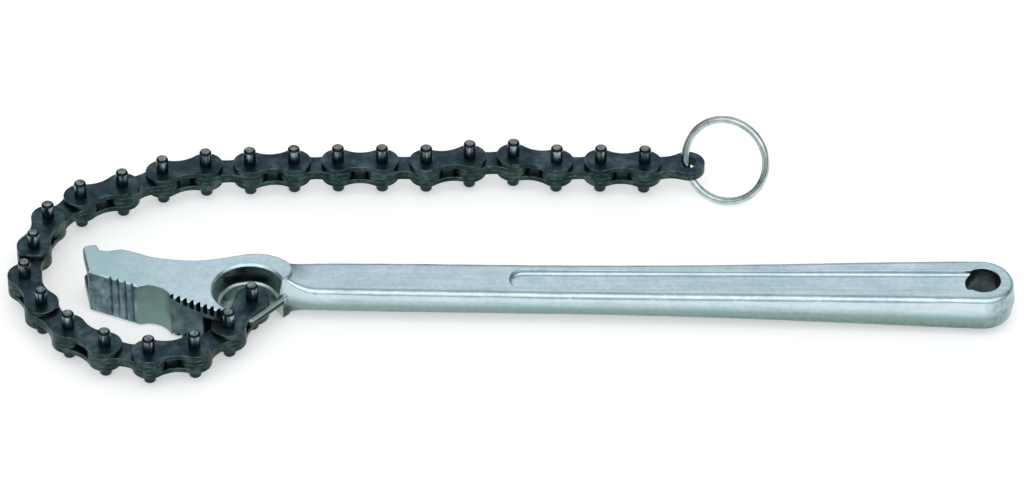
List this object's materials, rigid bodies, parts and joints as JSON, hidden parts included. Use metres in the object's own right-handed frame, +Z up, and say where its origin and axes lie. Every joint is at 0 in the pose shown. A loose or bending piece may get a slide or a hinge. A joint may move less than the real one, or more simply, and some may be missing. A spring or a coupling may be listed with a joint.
{
  "type": "strap wrench",
  "caption": "Chain-type strap wrench: forged toothed jaw and handle, roller-less chain with long hooking pins, and a wire pull ring.",
  "frame": {"origin": "centre of the whole tool's footprint at rest, at the height of the surface it lies on, which is the lower ends of the chain pins", "axes": "+X along the handle towards the hanging hole; +Y from the toothed jaw face towards the back of the head; +Z up, along the chain pins"},
  "size_m": [0.3542, 0.1202, 0.031],
  "materials": {
    "plated_steel": "satin nickel-chrome plate over forged steel",
    "chain_plates": "blackened steel, oiled",
    "chain_pins": "blackened steel, bare glints on the ends",
    "ring_wire": "bright plated wire"
  },
  "bodies": {
    "wrench": {"wrench_body": "plated_steel"},
    "outer_link_01": {"outer_plate_upper_01": "chain_plates", "outer_plate_lower_01": "chain_plates", "link_pins_01": "chain_pins"},
    "outer_link_02": {"outer_plate_upper_02": "chain_plates", "outer_plate_lower_02": "chain_plates", "link_pins_02": "chain_pins"},
    "outer_link_03": {"outer_plate_upper_03": "chain_plates", "outer_plate_lower_03": "chain_plates", "link_pins_03": "chain_pins"},
    "outer_link_04": {"outer_plate_upper_04": "chain_plates", "outer_plate_lower_04": "chain_plates", "link_pins_04": "chain_pins"},
    "outer_link_05": {"outer_plate_upper_05": "chain_plates", "outer_plate_lower_05": "chain_plates", "link_pins_05": "chain_pins"},
    "outer_link_06": {"outer_plate_upper_06": "chain_plates", "outer_plate_lower_06": "chain_plates", "link_pins_06": "chain_pins"},
    "outer_link_07": {"outer_plate_upper_07": "chain_plates", "outer_plate_lower_07": "chain_plates", "link_pins_07": "chain_pins"},
    "outer_link_08": {"outer_plate_upper_08": "chain_plates", "outer_plate_lower_08": "chain_plates", "link_pins_08": "chain_pins"},
    "outer_link_09": {"outer_plate_upper_09": "chain_plates", "outer_plate_lower_09": "chain_plates", "link_pins_09": "chain_pins"},
    "outer_link_10": {"outer_plate_upper_10": "chain_plates", "outer_plate_lower_10": "chain_plates", "link_pins_10": "chain_pins"},
    "outer_link_11": {"outer_plate_upper_11": "chain_plates", "outer_plate_lower_11": "chain_plates", "link_pins_11": "chain_pins"},
    "outer_link_12": {"outer_plate_upper_12": "chain_plates", "outer_plate_lower_12": "chain_plates", "link_pins_12": "chain_pins"},
    "inner_link_01": {"inner_plates_01": "chain_plates"},
    "inner_link_02": {"inner_plates_02": "chain_plates"},
    "inner_link_03": {"inner_plates_03": "chain_plates"},
    "inner_link_04": {"inner_plates_04": "chain_plates"},
    "inner_link_05": {"inner_plates_05": "chain_plates"},
    "inner_link_06": {"inner_plates_06": "chain_plates"},
    "inner_link_07": {"inner_plates_07": "chain_plates"},
    "inner_link_08": {"inner_plates_08": "chain_plates"},
    "inner_link_09": {"inner_plates_09": "chain_plates"},
    "inner_link_10": {"inner_plates_10": "chain_plates"},
    "inner_link_11": {"inner_plates_11": "chain_plates"},
    "inner_link_12": {"inner_plates_12": "chain_plates"},
    "ring": {"pull_ring": "ring_wire"}
  },
  "joints": [
    {"name": "chain_joint_01", "type": "hinge", "parent": "wrench", "child": "outer_link_01", "pos_m": [-0.09075, -0.02579, 0.0099], "axis": [0, 0, 1], "range_deg": [-2, 45]},
    {"name": "chain_joint_02", "type": "hinge", "parent": "outer_link_01", "child": "inner_link_01", "pos_m": [-0.09808, -0.03987, 0.0099], "axis": [0, 0, -1], "range_deg": [-45, 11]},
    {"name": "chain_joint_03", "type": "hinge", "parent": "inner_link_01", "child": "outer_link_02", "pos_m": [-0.1094, -0.051, 0.0099], "axis": [0, 0, 1], "range_deg": [-11, 45]},
    {"name": "chain_joint_04", "type": "hinge", "parent": "outer_link_02", "child": "inner_link_02", "pos_m": [-0.12499, -0.05403, 0.0099], "axis": [0, 0, -1], "range_deg": [-45, 10]},
    {"name": "chain_joint_05", "type": "hinge", "parent": "inner_link_02", "child": "outer_link_03", "pos_m": [-0.14048, -0.05059, 0.0099], "axis": [0, 0, 1], "range_deg": [-9, 45]},
    {"name": "chain_joint_06", "type": "hinge", "parent": "outer_link_03", "child": "inner_link_03", "pos_m": [-0.15372, -0.04183, 0.0099], "axis": [0, 0, -1], "range_deg": [-45, 9]},
    {"name": "chain_joint_07", "type": "hinge", "parent": "inner_link_03", "child": "outer_link_04", "pos_m": [-0.16403, -0.02976, 0.0099], "axis": [0, 0, 1], "range_deg": [-8, 45]},
    {"name": "chain_joint_08", "type": "hinge", "parent": "outer_link_04", "child": "inner_link_04", "pos_m": [-0.17099, -0.01549, 0.0099], "axis": [0, 0, -1], "range_deg": [-45, 8]},
    {"name": "chain_joint_09", "type": "hinge", "parent": "inner_link_04", "child": "outer_link_05", "pos_m": [-0.16906, 0.00027, 0.0099], "axis": [0, 0, 1], "range_deg": [-8, 45]},
    {"name": "chain_joint_10", "type": "hinge", "parent": "outer_link_05", "child": "inner_link_05", "pos_m": [-0.16522, 0.01567, 0.0099], "axis": [0, 0, -1], "range_deg": [-45, 8]},
    {"name": "chain_joint_11", "type": "hinge", "parent": "inner_link_05", "child": "outer_link_06", "pos_m": [-0.1546, 0.02747, 0.0099], "axis": [0, 0, 1], "range_deg": [-9, 45]},
    {"name": "chain_joint_12", "type": "hinge", "parent": "outer_link_06", "child": "inner_link_06", "pos_m": [-0.14009, 0.03392, 0.0099], "axis": [0, 0, -1], "range_deg": [-43, 10]},
    {"name": "chain_joint_13", "type": "hinge", "parent": "inner_link_06", "child": "outer_link_07", "pos_m": [-0.12614, 0.0415, 0.0099], "axis": [0, 0, 1], "range_deg": [-10, 45]},
    {"name": "chain_joint_14", "type": "hinge", "parent": "outer_link_07", "child": "inner_link_07", "pos_m": [-0.11084, 0.04574, 0.0099], "axis": [0, 0, -1], "range_deg": [-45, 11]},
    {"name": "chain_joint_15", "type": "hinge", "parent": "inner_link_07", "child": "outer_link_08", "pos_m": [-0.09502, 0.04699, 0.0099], "axis": [0, 0, 1], "range_deg": [-12, 45]},
    {"name": "chain_joint_16", "type": "hinge", "parent": "outer_link_08", "child": "inner_link_08", "pos_m": [-0.07921, 0.04851, 0.0099], "axis": [0, 0, -1], "range_deg": [-45, 14]},
    {"name": "chain_joint_17", "type": "hinge", "parent": "inner_link_08", "child": "outer_link_09", "pos_m": [-0.06336, 0.04934, 0.0099], "axis": [0, 0, 1], "range_deg": [-15, 45]},
    {"name": "chain_joint_18", "type": "hinge", "parent": "outer_link_09", "child": "inner_link_09", "pos_m": [-0.04749, 0.04976, 0.0099], "axis": [0, 0, -1], "range_deg": [-45, 17]},
    {"name": "chain_joint_19", "type": "hinge", "parent": "inner_link_09", "child": "outer_link_10", "pos_m": [-0.03162, 0.05003, 0.0099], "axis": [0, 0, 1], "range_deg": [-20, 38]},
    {"name": "chain_joint_20", "type": "hinge", "parent": "outer_link_10", "child": "inner_link_10", "pos_m": [-0.01601, 0.05293, 0.0099], "axis": [0, 0, -1], "range_deg": [-45, 23]},
    {"name": "chain_joint_21", "type": "hinge", "parent": "inner_link_10", "child": "outer_link_11", "pos_m": [-0.00017, 0.05403, 0.0099], "axis": [0, 0, 1], "range_deg": [-28, 45]},
    {"name": "chain_joint_22", "type": "hinge", "parent": "outer_link_11", "child": "inner_link_11", "pos_m": [0.01546, 0.05128, 0.0099], "axis": [0, 0, -1], "range_deg": [-36, 35]},
    {"name": "chain_joint_23", "type": "hinge", "parent": "inner_link_11", "child": "outer_link_12", "pos_m": [0.03133, 0.05169, 0.0099], "axis": [0, 0, 1], "range_deg": [-45, 45]},
    {"name": "chain_joint_24", "type": "hinge", "parent": "outer_link_12", "child": "inner_link_12", "pos_m": [0.0472, 0.05155, 0.0099], "axis": [0, 0, -1], "range_deg": [-40, 45]},
    {"name": "ring_swivel", "type": "hinge", "parent": "inner_link_12", "child": "ring", "pos_m": [0.06294, 0.05363, 0.0099], "axis": [0, 0, 1], "range_deg": [-70, 70]}
  ]
}
